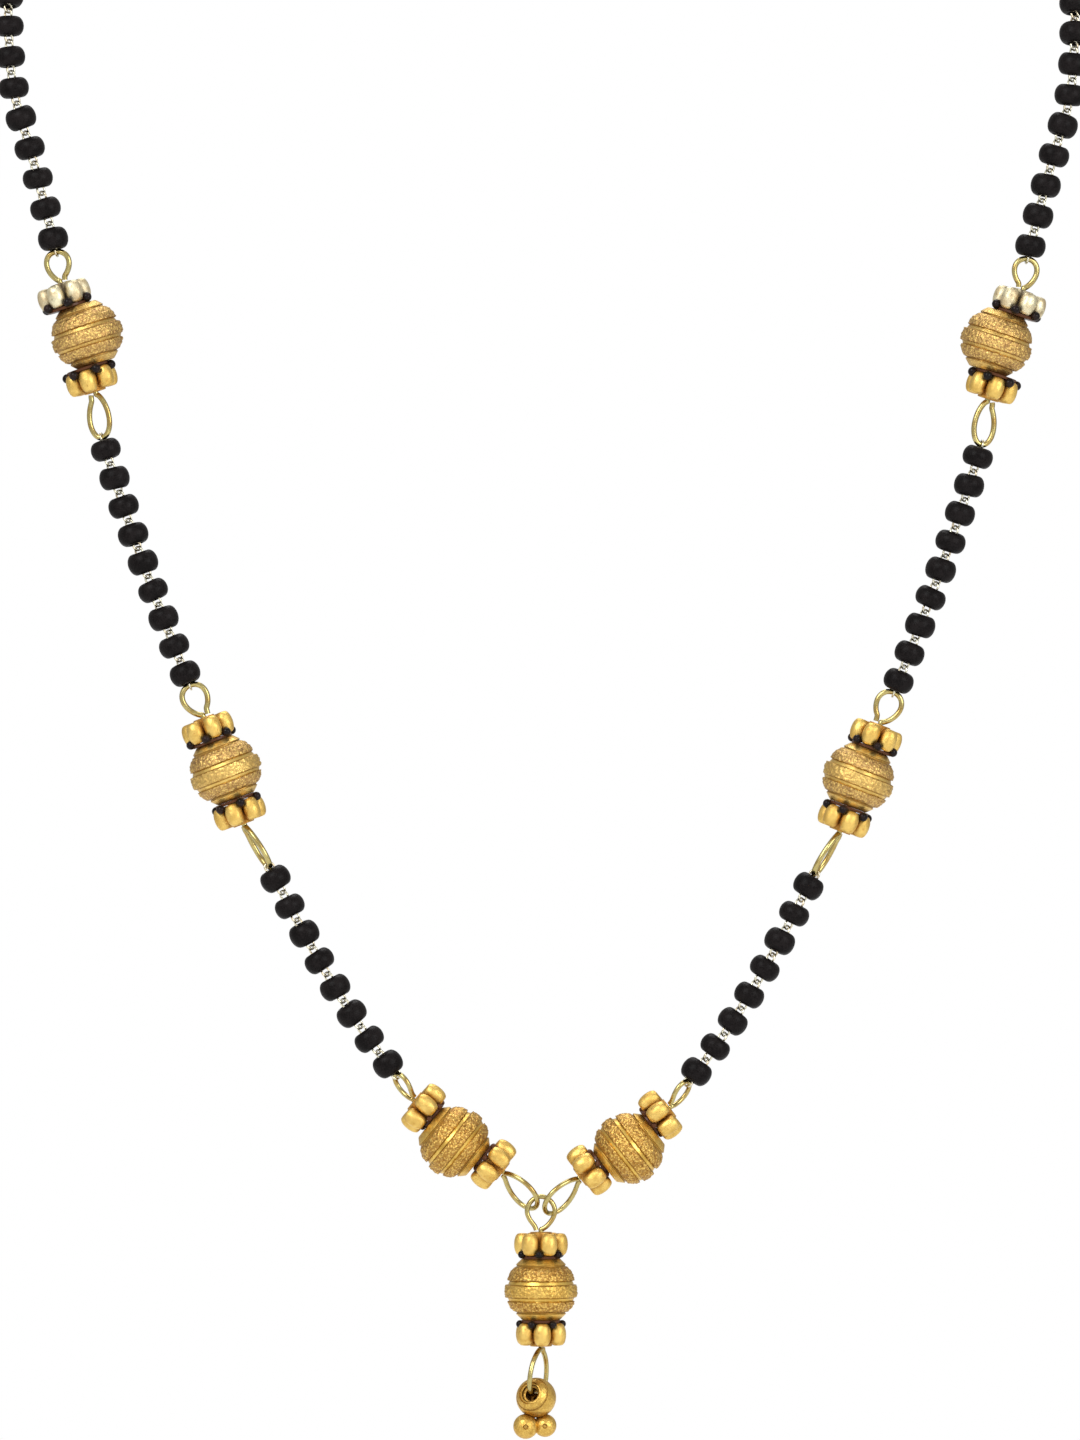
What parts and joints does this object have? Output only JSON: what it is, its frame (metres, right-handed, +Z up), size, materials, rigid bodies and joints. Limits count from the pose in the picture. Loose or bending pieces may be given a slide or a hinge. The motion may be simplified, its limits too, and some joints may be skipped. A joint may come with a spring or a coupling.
{
  "type": "mangalsutra",
  "caption": "Short bead necklace: black glass beads on wire links, banded gold balls between grain wheels, and a hanging ball pendant with a small gold drop.",
  "frame": {"origin": "The middle of the nape, where the front of the clasp barrel touches the back of the neck.", "axes": "+X towards the viewer's right, +Y backwards away from the viewer, +Z up; the pendant hangs at -Y and -Z."},
  "size_m": [0.1097, 0.0578, 0.1894],
  "materials": {
    "frosted_gold": "sand-blasted gold plating between bright turned stripes",
    "polished_gold": "satin gold plating",
    "gold_wire": "bright drawn wire, gold plated",
    "pale_wire": "bright pale wire",
    "black_enamel": "glossy black",
    "black_glass": "satin black glass"
  },
  "bodies": {
    "necklace": {"clasp_barrel": "polished_gold", "left_lower_ball": "frosted_gold", "left_lower_top_wheel": "polished_gold", "left_lower_bottom_wheel": "polished_gold", "left_lower_top_black_wheel": "black_enamel", "left_lower_bottom_black_wheel": "black_enamel", "left_lower_eye_pin": "gold_wire", "left_lower_beads": "black_glass", "left_lower_links": "pale_wire", "left_mid_ball": "frosted_gold", "left_mid_top_wheel": "polished_gold", "left_mid_bottom_wheel": "polished_gold", "left_mid_top_black_wheel": "black_enamel", "left_mid_bottom_black_wheel": "black_enamel", "left_mid_eye_pin": "gold_wire", "left_mid_beads": "black_glass", "left_mid_links": "pale_wire", "left_upper_ball": "frosted_gold", "left_upper_top_wheel": "polished_gold", "left_upper_bottom_wheel": "polished_gold", "left_upper_top_black_wheel": "black_enamel", "left_upper_bottom_black_wheel": "black_enamel", "left_upper_eye_pin": "gold_wire", "left_upper_beads": "black_glass", "left_upper_links": "pale_wire", "right_lower_ball": "frosted_gold", "right_lower_top_wheel": "polished_gold", "right_lower_bottom_wheel": "polished_gold", "right_lower_top_black_wheel": "black_enamel", "right_lower_bottom_black_wheel": "black_enamel", "right_lower_eye_pin": "gold_wire", "right_lower_beads": "black_glass", "right_lower_links": "pale_wire", "right_mid_ball": "frosted_gold", "right_mid_top_wheel": "polished_gold", "right_mid_bottom_wheel": "polished_gold", "right_mid_top_black_wheel": "black_enamel", "right_mid_bottom_black_wheel": "black_enamel", "right_mid_eye_pin": "gold_wire", "right_mid_beads": "black_glass", "right_mid_links": "pale_wire", "right_upper_ball": "frosted_gold", "right_upper_top_wheel": "polished_gold", "right_upper_bottom_wheel": "polished_gold", "right_upper_top_black_wheel": "black_enamel", "right_upper_bottom_black_wheel": "black_enamel", "right_upper_eye_pin": "gold_wire", "right_upper_beads": "black_glass", "right_upper_links": "pale_wire"},
    "pendant": {"pendant_ball": "frosted_gold", "pendant_top_wheel": "polished_gold", "pendant_bottom_wheel": "polished_gold", "pendant_top_black_wheel": "black_enamel", "pendant_bottom_black_wheel": "black_enamel", "pendant_eye_pin": "gold_wire", "drop_cluster": "frosted_gold"}
  },
  "joints": [
    {"name": "pendant_swing", "type": "hinge", "parent": "necklace", "child": "pendant", "pos_m": [0, -0.051, -0.16475], "axis": [1, 0, 0], "range_deg": [-45, 15]}
  ]
}
